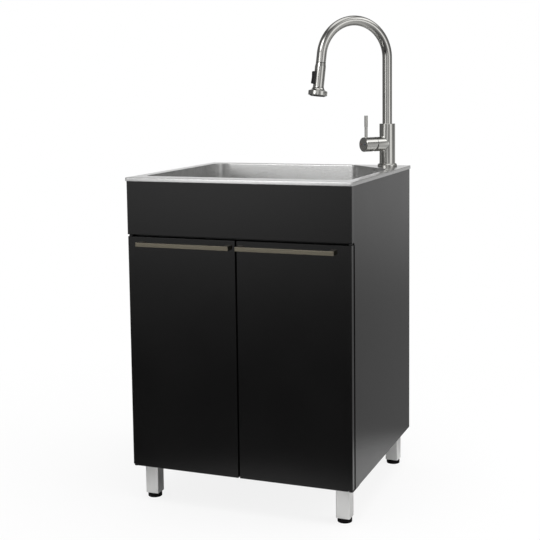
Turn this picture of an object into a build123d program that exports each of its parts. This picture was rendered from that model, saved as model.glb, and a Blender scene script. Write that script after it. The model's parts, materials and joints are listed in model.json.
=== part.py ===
from build123d import *

import os
from math import cos, radians, sin, sqrt, tan

# Free-standing sink cabinet: black panels on steel legs, a stainless sink that forms the top,
# and a pull-down mixer tap on the deck in the sink's clipped rear right corner.
# Millimetres. X runs to the right, Y to the back and Z up. Z = 0 is the floor, and the origin
# is the middle of the object's footprint, from the handles' fronts to the rear of the rim.

# Sink sizes
rim_width = 610.0
rim_depth = 559.0
rim_height = 855.0
rim_lip = 9.0
rim_overhang = 3.0
rim_corner = 5.0
sheet = 1.2
side_strip = 28.0
front_strip = 60.0
rear_strip = 26.0
deck_leg = 125.0
bowl_depth = 240.0
bowl_corner = 40.0
bowl_front_corner = 16.0
bowl_floor_radius = 12.0
rim_bend = 5.0
floor_fall = 5.0
fall_margin = 3.0
fall_end_share = 0.3

# Panel sizes
panel = 16.0
door_thickness = 16.0
door_back_gap = 2.0
door_edge_inset = 1.0
door_centre_gap = 4.0
door_height = 605.0
door_lift = 2.0
apron_gap = 5.0
carcass_bottom = 96.0
floor_panel_lift = 10.0
front_rail_overlap = 9.0
front_rail_share = 0.45
back_rail_height = 110.0
edge_ease = 0.8

# Leg and foot sizes
leg_size = 36.0
leg_wall = 1.5
leg_corner = 3.0
leg_side_gap = 3.0
front_leg_setback = 13.0
rear_leg_setback = 24.0
leg_plate = 54.0
leg_plate_thickness = 3.0
plug_height = 18.0
foot_height = 12.0
foot_radius = 18.5
foot_bevel = 3.0
foot_stem_radius = 5.0
foot_stem_length = 38.0

# Handle sizes
handle_bar = 11.0
handle_post = 15.0
handle_projection = 30.0
handle_drop = 11.0
handle_edge_gap = 7.0
handle_end_gap = 36.0
handle_bolt_radius = 2.0
handle_bolt_grip = 12.0
handle_bolt_head_radius = 4.0
handle_bolt_head = 2.5

# Pivot hinge sizes
swing_clearance = 0.4
hinge_pin_radius = 2.5
hinge_pin_reach = 12.0
bush_radius = 4.0
bush_depth = 14.0
hinge_plate = 2.5
hinge_plate_width = 13.0
upper_plate_length = 38.0
upper_plate_screws = 2
lower_plate_length = 56.0
lower_screw_margin = 7.0
hinge_washer_radius = 5.0

# Fastener sizes
screw_radius = 2.0
screw_length = 13.0
screw_head_radius = 4.0
screw_head = 2.4
apron_screw_length = 28.0
apron_screw_spacing = 200.0
cam_radius = 7.5
cam_depth = 12.0
cam_setback = 24.0
cam_slot = 1.6
cam_bolt_radius = 3.0
cam_bolt_grip = 10.0
floor_cam_inset = 140.0
upper_rail_cam_drop = 27.0
wall_screw_radius = 2.5
wall_screw_spacing = 400.0
clip_width = 22.0
clip_leg = 24.0
clip_thickness = 2.0
clip_screw_drop = 14.0
clip_offset = 180.0
bumper_radius = 4.0
bumper_edge_gap = 7.0

# Waste fitting sizes
drain_recess_radius = 58.0
drain_recess_depth = 4.0
drain_hole_radius = 45.0
strainer_flange_radius = 56.0
strainer_radius = 43.0
strainer_depth = 52.0
strainer_wall = 1.6
outlet_radius = 24.0
outlet_length = 22.0
basket_radius = 38.0
basket_depth = 34.0
knob_radius = 7.6
knob_neck_radius = 3.8
knob_height = 7.6
basket_lip = 6.0
basket_hole_radius = 3.2
inner_ring_radius = 15.0
inner_ring_holes = 8
outer_ring_radius = 26.0
outer_ring_holes = 14
gasket_radius = 56.0
gasket_thickness = 3.0
locknut_radius = 55.0
locknut_core_radius = 49.0
locknut_height = 11.0
locknut_lugs = 6
locknut_lug_width = 12.0
tailpiece_radius = 19.0
tailpiece_wall = 1.2
tailpiece_length = 150.0
tailpiece_flange = 2.0
tailpiece_neck = 0.5
tailpiece_neck_length = 26.0
slip_nut_radius = 29.0
slip_nut_height = 18.0

# Tap body sizes
tap_from_side = 55.0
tap_from_back = 50.0
barrel_turn = 232.0
spout_turn = 226.0
tap_hole_radius = 17.5
flange_radius = 27.0
flange_height = 9.0
flange_bevel = 3.0
body_radius = 22.0
body_height = 120.0
body_blend = 4.0
hose_bore = 11.0
shank_radius = 14.0
shank_length = 58.0
shank_wall = 2.0
shank_grip = 18.0
shank_nut_radius = 23.0
shank_nut_height = 12.0
shank_washer_radius = 25.0
shank_washer_thickness = 4.0

# Tap valve and handle sizes
barrel_height = 64.0
barrel_radius = 20.0
barrel_reach = 43.0
barrel_wall = 2.5
cartridge_seat = 3.0
rotor_radius = 10.0
rotor_length = 15.0
rotor_behind_pivot = 10.5
valve_pivot_setback = 12.0
valve_stem = 8.0
valve_pin_radius = 2.0
valve_pin_length = 18.0
hub_length = 38.0
hub_tilt = 22.0
hub_relief_margin = 3.0
lever_setback = 9.5
lever_socket = 8.0
lever_radius = 4.3
lever_height = 60.0
lever_grip_radius = 4.8
lever_grip_length = 32.0

# Spout and spray head sizes
spout_radius = 13.5
spout_wall = 1.6
spout_spring_height = 301.0
spout_reach_radius = 102.5
spout_sweep = 173.0
spout_tail = 23.5
bushing_radius = 16.0
bushing_height = 32.0
bushing_floor = 2.0
dock_flange = 1.5
dock_depth = 14.0
dock_bore = 9.5
head_length = 88.0
head_radius = 14.9
head_top_radius = 13.3
head_top_taper = 10.0
flare_length = 12.0
nozzle_radius = 26.0
nozzle_height = 13.0
nozzle_round = 2.0
spray_face_radius = 22.5
spray_face_proud = 1.2
button_length = 34.0
button_width = 12.0
button_proud = 6.0
button_depth = 6.5
button_crown = 2.0
button_from_top = 41.0
button_end_gap = 0.6
button_lug = 1.9
button_pin = 1.2
button_pin_reach = 1.8

# Clearances
running_fit = 0.05
seat_fit = 0.1
free_gap = 0.3
seam_gap = 1.0

# Levels and lines worked out from the sizes above
half_carcass = rim_width / 2 - rim_overhang
inner_half = half_carcass - panel
rim_back = (handle_projection + rim_depth - rim_overhang) / 2
face_front = rim_back - rim_depth + rim_overhang
rim_front = face_front - rim_overhang
rim_middle = (rim_front + rim_back) / 2
door_back = face_front + door_thickness
carcass_front = door_back + door_back_gap
carcass_back = rim_back - rim_overhang
panel_top = rim_height - sheet
door_bottom = carcass_bottom + door_lift
door_top = door_bottom + door_height
apron_bottom = door_top + apron_gap
floor_panel_bottom = carcass_bottom + floor_panel_lift
floor_panel_top = floor_panel_bottom + panel
front_rail_bottom = door_top - front_rail_overlap
front_rail_top = apron_bottom + (panel_top - apron_bottom) * front_rail_share
bowl_floor = rim_height - bowl_depth + sheet
drain_floor = bowl_floor - floor_fall
tap_x = rim_width / 2 - tap_from_side
tap_y = rim_back - tap_from_back

os.makedirs("parts", exist_ok=True)
up = (0, 0, 1)
down = (0, 0, -1)
to_back = (0, 1, 0)
to_front = (0, -1, 0)
to_right = (1, 0, 0)
standing = (Align.CENTER, Align.CENTER, Align.MIN)


# Shared shapes
def block(x, y, z):
    """A box between (low, high) limits along each axis."""
    limits = (x, y, z)
    size = [high - low for low, high in limits]
    middle = [(high + low) / 2 for low, high in limits]
    return Pos(*middle) * Box(*size)


def rod(start, direction, radius, length):
    """A round bar from a start point along a direction."""
    return Plane(origin=start, z_dir=direction) * Cylinder(radius, length, align=standing)


def ring(start, direction, outer, inner, length):
    """A round tube from a start point along a direction."""
    return rod(start, direction, outer, length) - rod(start, direction, inner, length)


def pan_screw(seat, direction, length):
    """A screw whose head rests on the seat point and whose shank goes on along the direction."""
    back = Vector(*direction) * -1
    return rod(seat, direction, screw_radius, length) + rod(seat, back, screw_head_radius, screw_head)


def flush_screw(seat, direction):
    """A countersunk screw whose head lies level with the seat point."""
    taper = Cone(screw_head_radius, screw_radius, screw_head_radius - screw_radius, align=standing)
    return Plane(origin=seat, z_dir=direction) * taper + rod(seat, direction, screw_radius, screw_length)


def mirrored(piece):
    """The piece's mirror image on the other side of the cabinet."""
    return mirror(piece, Plane.YZ)


def both_sides(piece):
    """The piece and its mirror image."""
    return [piece, mirrored(piece)]


def on_tap(shape, turn=barrel_turn):
    """Move a shape from the tap's own frame, barrel along X and deck at Z = 0, to the deck."""
    return Pos(tap_x, tap_y, rim_height) * Rot(0, 0, turn) * shape


def on_spout(shape):
    """Move a shape from the spout's own frame, arch along X and deck at Z = 0, to the deck."""
    return on_tap(shape, spout_turn)


def save(name, shape):
    """Write one named piece, or a group of like pieces, as parts/NAME.step."""
    if isinstance(shape, list):
        shape = Compound(children=[piece.solid() for piece in shape])
    export_step(shape, f"parts/{name}.step")


# Cabinet panels: two sides, a floor, one front rail and two back rails, open behind for the pipes
right_side = block((inner_half, half_carcass), (carcass_front, carcass_back), (carcass_bottom, panel_top))
across = (-inner_half, inner_half)
floor_panel = block(across, (carcass_front, carcass_back), (floor_panel_bottom, floor_panel_top))
front_rail_line = (carcass_front, carcass_front + panel)
front_rail = block(across, front_rail_line, (front_rail_bottom, front_rail_top))
back_rail_line = (carcass_back - panel, carcass_back)
upper_back_rail = block(across, back_rail_line, (panel_top - back_rail_height, panel_top))
lower_back_rail = block(across, back_rail_line, (floor_panel_top, floor_panel_top + back_rail_height))

# Wall fixing: two holes through the upper back rail, on its middle line
wall_screw_height = panel_top - back_rail_height / 2
for end in (-1, 1):
    hole_start = (end * wall_screw_spacing / 2, carcass_back, wall_screw_height)
    upper_back_rail -= rod(hole_start, to_front, wall_screw_radius, panel)


# Cam fittings draw each rail end and each edge of the floor panel against the side panels
def cam_fitting(end, mid_y, mid_z, face):
    """The cam disc and bolt of one fitting, with the bore of both."""
    mouth = Vector(end * (inner_half - cam_setback), mid_y, mid_z) + Vector(*face) * (panel / 2)
    cam_way = Vector(*face) * -1
    bolt_start = (end * (inner_half + cam_bolt_grip), mid_y, mid_z)
    bolt_way = (-end, 0, 0)
    reach = cam_bolt_grip + cam_setback
    bolt = rod(bolt_start, bolt_way, cam_bolt_radius, reach)
    bolt_bore = rod(bolt_start, bolt_way, cam_bolt_radius + running_fit, reach)
    cam_bore = rod(mouth, cam_way, cam_radius + running_fit, cam_depth)
    cam = rod(mouth, cam_way, cam_radius, cam_depth) - bolt_bore
    cam -= Plane(origin=mouth, z_dir=face) * Box(cam_radius, cam_slot, cam_slot)
    return cam, bolt, cam_bore + bolt_bore


cam_pieces = []
side_bores = []


def joined(rail, mid_y, mid_z, face):
    """A rail with a cam fitting at both ends."""
    for end in (-1, 1):
        cam, bolt, bore = cam_fitting(end, mid_y, mid_z, face)
        cam_pieces.extend([cam, bolt])
        rail -= bore
        if end > 0:
            side_bores.append(bore)
    return rail


floor_mid = floor_panel_bottom + panel / 2
for cam_line in (carcass_front + floor_cam_inset, carcass_back - floor_cam_inset):
    floor_panel = joined(floor_panel, cam_line, floor_mid, down)
front_rail_mid = (front_rail_bottom + front_rail_top) / 2
front_rail = joined(front_rail, carcass_front + panel / 2, front_rail_mid, to_back)
back_rail_mid = carcass_back - panel / 2
upper_back_rail = joined(upper_back_rail, back_rail_mid, panel_top - upper_rail_cam_drop, to_front)
lower_rail_mid = floor_panel_top + back_rail_height / 2
lower_back_rail = joined(lower_back_rail, back_rail_mid, lower_rail_mid, to_front)
for bore in side_bores:
    right_side -= bore
save("cam_fittings", cam_pieces)

# Legs: square steel tube welded under a plate that is screwed to the floor panel
screws = []
plugs = []
leg_x = inner_half - leg_side_gap - leg_size / 2
leg_top = floor_panel_bottom - leg_plate_thickness
leg_lines = {
    "front": carcass_front + front_leg_setback + leg_size / 2,
    "rear": carcass_back - rear_leg_setback - leg_size / 2,
}
tube_bore = leg_size - 2 * leg_wall
bore_corner = leg_corner - leg_wall
plate_margin = (leg_plate - leg_size) / 2
for place, leg_y in leg_lines.items():
    inward_y = 1 if place == "front" else -1
    tube_outline = RectangleRounded(leg_size, leg_size, leg_corner)
    tube_hollow = RectangleRounded(tube_bore, tube_bore, bore_corner)
    tube = Pos(leg_x, leg_y, foot_height) * extrude(tube_outline - tube_hollow, leg_top - foot_height)
    plate_middle = (leg_x - plate_margin, leg_y + inward_y * plate_margin, leg_top)
    plate = Pos(*plate_middle) * Box(leg_plate, leg_plate, leg_plate_thickness, align=standing)
    screw_x = leg_x - leg_size / 2 - plate_margin
    screw_y = leg_y + inward_y * (leg_size / 2 + plate_margin)
    for x, y in ((screw_x, leg_y), (screw_x, screw_y), (leg_x, screw_y)):
        seat = (x, y, leg_top)
        plate -= rod(seat, up, screw_radius + seat_fit, leg_plate_thickness)
        screws.extend(both_sides(pan_screw(seat, up, screw_length)))
        for pilot in both_sides(rod(seat, up, screw_radius + running_fit, screw_length)):
            floor_panel -= pilot
    leg = tube + plate
    save(f"leg_{place}_right", leg)
    save(f"leg_{place}_left", mirrored(leg))

    # A plastic plug in the tube's end carries the thread of the levelling foot
    leg_foot = (leg_x, leg_y, foot_height)
    plug_size = tube_bore - 2 * seat_fit
    plug = Pos(*leg_foot) * extrude(RectangleRounded(plug_size, plug_size, bore_corner), plug_height)
    plug -= rod(leg_foot, up, foot_stem_radius + running_fit, plug_height)
    plugs.extend(both_sides(plug))

    # Levelling foot: a moulded pad on a threaded stem
    pad = Pos(leg_x, leg_y, 0) * extrude(Circle(foot_radius), foot_height)
    pad = chamfer(pad.edges().sort_by(Axis.Z)[-1], foot_bevel)
    foot = pad + rod(leg_foot, up, foot_stem_radius, foot_stem_length)
    save(f"foot_{place}_right", foot)
    save(f"foot_{place}_left", mirrored(foot))
save("leg_inserts", plugs)

# Apron: the fixed front panel over the doors, screwed from behind through the front rail
apron = block((-half_carcass, half_carcass), (face_front, carcass_front), (apron_bottom, panel_top))
apron = chamfer(apron.edges().group_by(Axis.Y)[0], edge_ease)
apron_screws = []
for place in (-1, 0, 1):
    seat = (place * apron_screw_spacing, carcass_front + panel, front_rail_mid)
    apron_screws.append(pan_screw(seat, to_front, apron_screw_length))
    bore = rod(seat, to_front, screw_radius + running_fit, apron_screw_length)
    front_rail -= bore
    apron -= bore
save("apron_screws", apron_screws)

# Doors: two slabs that cover the front edges of the sides
door_outer = half_carcass - door_edge_inset
door_inner = door_centre_gap / 2
door = block((door_inner, door_outer), (face_front, door_back), (door_bottom, door_top))
door = chamfer(door.edges(), edge_ease)

# Pivot hinges: plates on the apron and the sides carry pins that run in bushes in the door ends.
# The pivot lies so near the door's end that its back corner swings clear of the side panel.
half_door = door_thickness / 2
corner_swing = half_door + door_back_gap - swing_clearance
pivot_inset = sqrt(corner_swing**2 - half_door**2)
pivot_x = door_outer - pivot_inset
pivot_y = door_back - half_door
plate_front = pivot_y - hinge_plate_width / 2
plate_back = pivot_y + hinge_plate_width / 2
upper_plate_x = (door_outer - upper_plate_length, door_outer)
upper_plate_z = (apron_bottom, apron_bottom + hinge_plate)
upper_plate = block(upper_plate_x, (plate_front, plate_back), upper_plate_z)
lower_plate_bottom = carcass_bottom - hinge_plate
lower_plate_x = (pivot_x - hinge_plate_width / 2, door_outer)
lower_plate_y = (plate_front, plate_front + lower_plate_length)
lower_plate = block(lower_plate_x, lower_plate_y, (lower_plate_bottom, carcass_bottom))
for recess in both_sides(upper_plate):
    apron -= recess

pins = []
washers = []
bushes = []
washer_bore = hinge_pin_radius + running_fit
pin_ends = (
    (upper_plate_z[1], apron_bottom, apron_gap, door_top, down),
    (lower_plate_bottom, carcass_bottom, door_lift, door_bottom, up),
)
for pin_start, plate_face, gap, door_end, way in pin_ends:
    pin = rod((pivot_x, pivot_y, pin_start), way, hinge_pin_radius, hinge_plate + gap + hinge_pin_reach)
    pins.append(pin)
    upper_plate -= pin
    lower_plate -= pin
    spacer = gap - free_gap if way == down else gap
    washers.append(ring((pivot_x, pivot_y, plate_face), way, hinge_washer_radius, washer_bore, spacer))
    inward = Vector(*way)
    bushes.append(ring((pivot_x, pivot_y, door_end), inward, bush_radius, washer_bore, bush_depth))
    door -= rod((pivot_x, pivot_y, door_end), inward, bush_radius, bush_depth)

# Flush screws hold the hinge plates to the apron's edge and to the side panels' edges
hinge_screws = []
screw_step = (upper_plate_length - pivot_inset) / (upper_plate_screws + 1)
for count in range(upper_plate_screws):
    screw = flush_screw((pivot_x - (count + 1) * screw_step, pivot_y, apron_bottom), up)
    upper_plate -= screw
    for copy in both_sides(screw):
        apron -= copy
        hinge_screws.append(copy)
lower_screw_x = (inner_half + half_carcass) / 2
for y in (carcass_front + lower_screw_margin, lower_plate_y[1] - lower_screw_margin):
    screw = flush_screw((lower_screw_x, y, lower_plate_bottom), up)
    lower_plate -= screw
    right_side -= screw
    hinge_screws.extend(both_sides(screw))
save("hinge_screws", hinge_screws)
save("upper_hinge_plates", both_sides(upper_plate))
save("lower_hinge_plates", both_sides(lower_plate))
save("hinge_pins", pins + [mirrored(pin) for pin in pins])
save("hinge_washers", washers + [mirrored(washer) for washer in washers])
save("right_door_bushes", bushes)
save("left_door_bushes", [mirrored(bush) for bush in bushes])

# Handles: square bar pulls, each a bar on two posts, near the top inner corner of its door
bar_start = door_inner + handle_edge_gap
bar_end = door_outer - handle_end_gap
bar_z = (door_top - handle_drop - handle_bar, door_top - handle_drop)
bar_front = face_front - handle_projection
handle = block((bar_start, bar_end), (bar_front, bar_front + handle_bar), bar_z)
for post_x in (bar_start, bar_end - handle_post):
    handle += block((post_x, post_x + handle_post), (bar_front, face_front), bar_z)
handle = chamfer(handle.edges().group_by(Axis.Y)[0], edge_ease)
handle_bolts = []
bolt_z = (bar_z[0] + bar_z[1]) / 2
bolt_reach = handle_bolt_grip + door_thickness
for bolt_x in (bar_start + handle_post / 2, bar_end - handle_post / 2):
    bolt_start = (bolt_x, face_front - handle_bolt_grip, bolt_z)
    bolt = rod(bolt_start, to_back, handle_bolt_radius, bolt_reach)
    bolt += rod((bolt_x, door_back, bolt_z), to_back, handle_bolt_head_radius, handle_bolt_head)
    handle_bolts.append(bolt)
    bore = rod(bolt_start, to_back, handle_bolt_radius + running_fit, bolt_reach)
    handle -= bore
    door -= bore
save("right_handle", handle)
save("left_handle", mirrored(handle))
save("right_handle_screws", handle_bolts)
save("left_handle_screws", [mirrored(bolt) for bolt in handle_bolts])
save("right_door", door)
save("left_door", mirrored(door))

# Bumpers on the front rail and the floor panel's front edge stop the closed doors
bumper_x = door_inner + bumper_edge_gap + bumper_radius
bumpers = []
for bumper_z in (door_top - front_rail_overlap / 2, floor_mid):
    bumper = rod((bumper_x, carcass_front, bumper_z), to_front, bumper_radius, door_back_gap)
    bumpers.extend(both_sides(bumper))
save("door_bumpers", bumpers)

# Sink: the rim sheet, its folded lip and the bowl are one pressing
opening_left = -rim_width / 2 + side_strip
opening_right = rim_width / 2 - side_strip
opening_front = rim_front + front_strip
opening_back = rim_back - rear_strip
opening = make_face(
    Polyline(
        (opening_left, opening_front),
        (opening_right, opening_front),
        (opening_right, opening_back - deck_leg),
        (opening_right - deck_leg, opening_back),
        (opening_left, opening_back),
        close=True,
    )
)
opening = fillet(opening.vertices().group_by(Axis.Y)[0], bowl_front_corner)
rear_half = (opening_front + 2 * bowl_front_corner, rim_back)
opening = fillet(opening.vertices().filter_by_position(Axis.Y, *rear_half), bowl_corner)
rim_outline = Pos(0, rim_middle) * RectangleRounded(rim_width, rim_depth, rim_corner)
cap = Pos(0, 0, rim_height) * extrude(rim_outline, -rim_lip)
cap = fillet(cap.edges().group_by(Axis.Z)[-1], sheet)
lip_hollow = RectangleRounded(rim_width - 2 * sheet, rim_depth - 2 * sheet, rim_corner - sheet)
cap -= Pos(0, rim_middle, panel_top) * extrude(lip_hollow, -rim_lip)
bowl = Pos(0, 0, rim_height) * extrude(offset(opening, sheet), -bowl_depth)
bowl = fillet(bowl.edges().group_by(Axis.Z)[0], bowl_floor_radius + sheet)
bowl_space = Pos(0, 0, rim_height) * extrude(opening, sheet - bowl_depth)
bowl_space = fillet(bowl_space.edges().group_by(Axis.Z)[0], bowl_floor_radius)

# The bowl's floor falls from a line inside its rounded foot to the drain, with soft creases
drain_x = (opening_left + opening_right) / 2
drain_y = (opening_front + opening_back) / 2
floor_edge = offset(opening, -bowl_floor_radius - fall_margin)
floor_edge = Pos(-drain_x, -drain_y, 0) * floor_edge
fall_end = Pos(0, 0, -floor_fall) * scale(floor_edge, by=fall_end_share)
fall = loft([floor_edge, fall_end], ruled=True)
bowl_space += Pos(drain_x, drain_y, bowl_floor) * fall
bowl += Pos(drain_x, drain_y, bowl_floor - sheet) * fall

recess_floor = drain_floor - drain_recess_depth
drain_seat = (drain_x, drain_y, recess_floor)
recess_start = (drain_x, drain_y, recess_floor - sheet)
sink = cap + bowl


def bowl_edges(level):
    """The edges of the bowl's mouth at a level, apart from the rim's own outline."""
    reach = opening_right + rim_overhang
    at_level = sink.edges().filter_by_position(Axis.Z, level - running_fit, level + running_fit)
    mouth = at_level.filter_by_position(Axis.X, -reach, reach)
    return mouth.filter_by_position(Axis.Y, opening_front - rim_overhang, opening_back + rim_overhang)


sink = fillet(bowl_edges(panel_top), rim_bend - sheet)
sink += rod(recess_start, up, drain_recess_radius + sheet, drain_recess_depth + sheet)
sink -= bowl_space
sink = fillet(bowl_edges(rim_height), rim_bend)
sink -= rod(drain_seat, up, drain_recess_radius, drain_recess_depth)
sink -= rod(drain_seat, down, drain_hole_radius, sheet)
sink -= rod((tap_x, tap_y, rim_height), down, tap_hole_radius, sheet)
save("sink", sink)

# Clips: small angle brackets on the apron's back that hold the rim down
clips = []
clip_back = carcass_front + clip_thickness
clip_shelf_line = (carcass_front, carcass_front + clip_leg)
for place in (-1, 0, 1):
    clip_x = place * clip_offset
    clip_line = (clip_x - clip_width / 2, clip_x + clip_width / 2)
    clip = block(clip_line, (carcass_front, clip_back), (panel_top - clip_leg, panel_top))
    clip += block(clip_line, clip_shelf_line, (panel_top - clip_thickness, panel_top))
    seat = (clip_x, clip_back, panel_top - clip_screw_drop)
    clip -= rod(seat, to_front, screw_radius + seat_fit, clip_thickness)
    apron -= rod(seat, to_front, screw_radius + running_fit, screw_length)
    clips.append(clip)
    screws.append(pan_screw(seat, to_front, screw_length))
save("sink_clips", clips)
save("panel_screws", screws)
save("apron_panel", apron)
save("right_side_panel", right_side)
save("left_side_panel", mirrored(right_side))
save("floor_panel", floor_panel)
save("front_rail", front_rail)
save("upper_back_rail", upper_back_rail)
save("lower_back_rail", lower_back_rail)


def turned(profile):
    """A solid turned about the drain's axis from (radius, height) points."""
    face = make_face(Plane.XZ * Polyline(*profile, close=True))
    return Pos(drain_x, drain_y, 0) * revolve(face, Axis.Z)


# Basket strainer: a flanged cup through the bowl's drain hole
cup_bottom = recess_floor - strainer_depth
strainer_inner = strainer_radius - strainer_wall
strainer_top = recess_floor + strainer_wall
outlet_bottom = cup_bottom - outlet_length
outlet_inner = outlet_radius - strainer_wall
strainer = turned([
    (outlet_inner, outlet_bottom),
    (outlet_radius, outlet_bottom),
    (outlet_radius, cup_bottom - strainer_wall),
    (strainer_radius, cup_bottom - strainer_wall),
    (strainer_radius, recess_floor),
    (strainer_flange_radius, recess_floor),
    (strainer_flange_radius, strainer_top),
    (strainer_inner, strainer_top),
    (strainer_inner, cup_bottom),
    (outlet_inner, cup_bottom),
])
save("strainer_body", strainer)

# Basket: a cup with a perforated plate on its inner lip and a knob to lift it, loose in the strainer
basket_inner = basket_radius - strainer_wall
basket_floor = cup_bottom + strainer_wall
basket_top = cup_bottom + basket_depth
plate_top = basket_floor + strainer_wall
basket = turned([
    (basket_inner - basket_lip, cup_bottom),
    (basket_radius, cup_bottom),
    (basket_radius, basket_top),
    (basket_inner, basket_top),
    (basket_inner, basket_floor),
    (basket_inner - basket_lip, basket_floor),
])
save("strainer_basket", basket)
plate_start = (drain_x, drain_y, basket_floor)
basket_plate = rod(plate_start, up, basket_inner - seat_fit, strainer_wall)
for ring_radius, holes in ((inner_ring_radius, inner_ring_holes), (outer_ring_radius, outer_ring_holes)):
    for spot in PolarLocations(ring_radius, holes):
        hole = spot * Cylinder(basket_hole_radius, strainer_wall, align=standing)
        basket_plate -= Pos(*plate_start) * hole
save("basket_plate", basket_plate)
knob = turned([
    (0, plate_top),
    (knob_neck_radius, plate_top),
    (knob_neck_radius, basket_top - knob_height),
    (knob_radius, basket_top - knob_height),
    (knob_radius, basket_top),
    (0, basket_top),
])
save("basket_knob", knob)

# Gasket and lugged locknut hold the strainer from below
under_floor = recess_floor - sheet
locknut_top = under_floor - gasket_thickness
locknut_start = (drain_x, drain_y, locknut_top)
strainer_bore = strainer_radius + seat_fit
gasket = ring((drain_x, drain_y, under_floor), down, gasket_radius, strainer_bore, gasket_thickness)
save("drain_gasket", gasket)
locknut = rod(locknut_start, down, locknut_core_radius, locknut_height)
lug_reach = locknut_radius - strainer_radius
lug_bottom = Pos(drain_x, drain_y, locknut_top - locknut_height)
for spot in PolarLocations(strainer_radius + lug_reach / 2, locknut_lugs):
    locknut += lug_bottom * spot * Box(lug_reach, locknut_lug_width, locknut_height, align=standing)
locknut -= rod(locknut_start, down, strainer_bore, locknut_height)
save("drain_locknut", locknut)

# Tailpiece hangs from the strainer's outlet, held by a slip nut round its neck
tail_top = outlet_bottom
tail_inner = tailpiece_radius - tailpiece_wall
neck_radius = tailpiece_radius - tailpiece_neck
neck_top = tail_top - tailpiece_flange
neck_bottom = neck_top - tailpiece_neck_length
tailpiece = turned([
    (tail_inner, tail_top - tailpiece_length),
    (tailpiece_radius, tail_top - tailpiece_length),
    (tailpiece_radius, neck_bottom),
    (neck_radius, neck_bottom),
    (neck_radius, neck_top),
    (outlet_radius, neck_top),
    (outlet_radius, tail_top),
    (tail_inner, tail_top),
])
save("tailpiece", tailpiece)
nut_bottom = neck_top - strainer_wall
nut_top = nut_bottom + slip_nut_height
nut_step = nut_bottom + strainer_wall
slip_nut = turned([
    (tailpiece_radius + seat_fit, nut_bottom),
    (slip_nut_radius, nut_bottom),
    (slip_nut_radius, nut_top),
    (outlet_radius + seat_fit, nut_top),
    (outlet_radius + seat_fit, nut_step),
    (tailpiece_radius + seat_fit, nut_step),
])
save("tailpiece_nut", slip_nut)

# Tap body: an upright column with a level barrel for the valve, bored for the hose and the spout
deck = (0, 0, 0)
body_top = (0, 0, body_height)
body = rod(deck, up, body_radius, body_height)
body = chamfer(body.edges().sort_by(Axis.Z)[-1], edge_ease)
body += rod((0, 0, barrel_height), to_right, barrel_radius, barrel_reach)
saddle = body.edges().filter_by(lambda edge: edge.geom_type not in (GeomType.CIRCLE, GeomType.LINE))
body = fillet(saddle, body_blend)
body -= rod(deck, up, hose_bore, body_height)
body -= rod(body_top, down, bushing_radius + running_fit, bushing_height)
body -= rod(deck, up, shank_radius + running_fit, shank_grip)
cartridge_radius = barrel_radius - barrel_wall
cartridge_start = hose_bore + cartridge_seat
cartridge_back = (cartridge_start, 0, barrel_height)
body -= rod(cartridge_back, to_right, cartridge_radius + running_fit, barrel_reach - cartridge_start)
save("tap_body", on_tap(body))
flange = rod(deck, up, flange_radius, flange_height)
flange = chamfer(flange.edges().sort_by(Axis.Z)[-1], flange_bevel)
flange -= rod(deck, up, body_radius + running_fit, flange_height)
save("tap_flange", on_tap(flange))

# Shank, washer and nut clamp the tap to the deck
shank_top = (0, 0, shank_grip)
shank = ring(shank_top, down, shank_radius, shank_radius - shank_wall, shank_grip + shank_length)
save("tap_shank", on_tap(shank))
shank_bore = shank_radius + seat_fit
washer = ring((0, 0, -sheet), down, shank_washer_radius, shank_bore, shank_washer_thickness)
save("tap_washer", on_tap(washer))
nut_start = (0, 0, -sheet - shank_washer_thickness)
nut = Pos(*nut_start) * extrude(RegularPolygon(shank_nut_radius, 6), -shank_nut_height)
nut -= rod(nut_start, down, shank_bore, shank_nut_height)
save("tap_nut", on_tap(nut))

# Valve: a cartridge in the barrel holds a rotor, and the handle's stem tilts on the rotor's pin
valve_pivot = barrel_reach - valve_pivot_setback
cartridge_front = barrel_reach - seam_gap
rotor_start = valve_pivot - rotor_behind_pivot
rotor_back = (rotor_start, 0, barrel_height)
cartridge = rod(cartridge_back, to_right, cartridge_radius, cartridge_front - cartridge_start)
cartridge -= rod(rotor_back, to_right, rotor_radius + running_fit, cartridge_front - rotor_start)
save("valve_cartridge", on_tap(cartridge))
stem_half = valve_stem / 2
slot_half = stem_half + free_gap
rotor = rod(rotor_back, to_right, rotor_radius, rotor_length)
rotor -= block(
    (valve_pivot - slot_half, valve_pivot + rotor_length),
    (-slot_half, slot_half),
    (barrel_height - rotor_radius, barrel_height + rotor_radius),
)
pin_start = (valve_pivot, -valve_pin_length / 2, barrel_height)
rotor += rod(pin_start, to_back, valve_pin_radius, valve_pin_length)
save("valve_rotor", on_tap(rotor))

# Handle: a hub that closes the barrel, relieved below so that it can tilt, with an upright lever
hub_back = barrel_reach + seam_gap
hub_front = hub_back + hub_length
hub = rod((hub_back, 0, barrel_height), to_right, barrel_radius, hub_length)
hub = chamfer(hub.edges().filter_by(GeomType.CIRCLE).group_by(Axis.X)[-1], edge_ease)
relief_top = barrel_height + valve_pivot_setback * tan(radians(hub_tilt / 2)) + free_gap
relief_reach = 2 * barrel_radius
relief = block((-relief_reach, 0), (-relief_reach, relief_reach), (-2 * relief_reach, 0))
hub -= Pos(hub_back, 0, relief_top) * Rot(0, -hub_tilt - hub_relief_margin, 0) * relief
stem = block(
    (valve_pivot, hub_back + hub_length / 2),
    (-stem_half, stem_half),
    (barrel_height - stem_half, barrel_height + stem_half),
)
eye_start = (valve_pivot, -stem_half, barrel_height)
stem += rod(eye_start, to_back, stem_half, valve_stem)
hub += stem
hub -= rod(eye_start, to_back, valve_pin_radius + running_fit, valve_stem)
lever_x = hub_front - lever_setback
hub_top = barrel_height + barrel_radius
lever_foot = (lever_x, 0, hub_top - lever_socket)
hub -= rod(lever_foot, up, lever_radius + running_fit, barrel_radius)
save("handle_hub", on_tap(hub))
lever = rod(lever_foot, up, lever_radius, lever_socket + lever_height)
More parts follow.
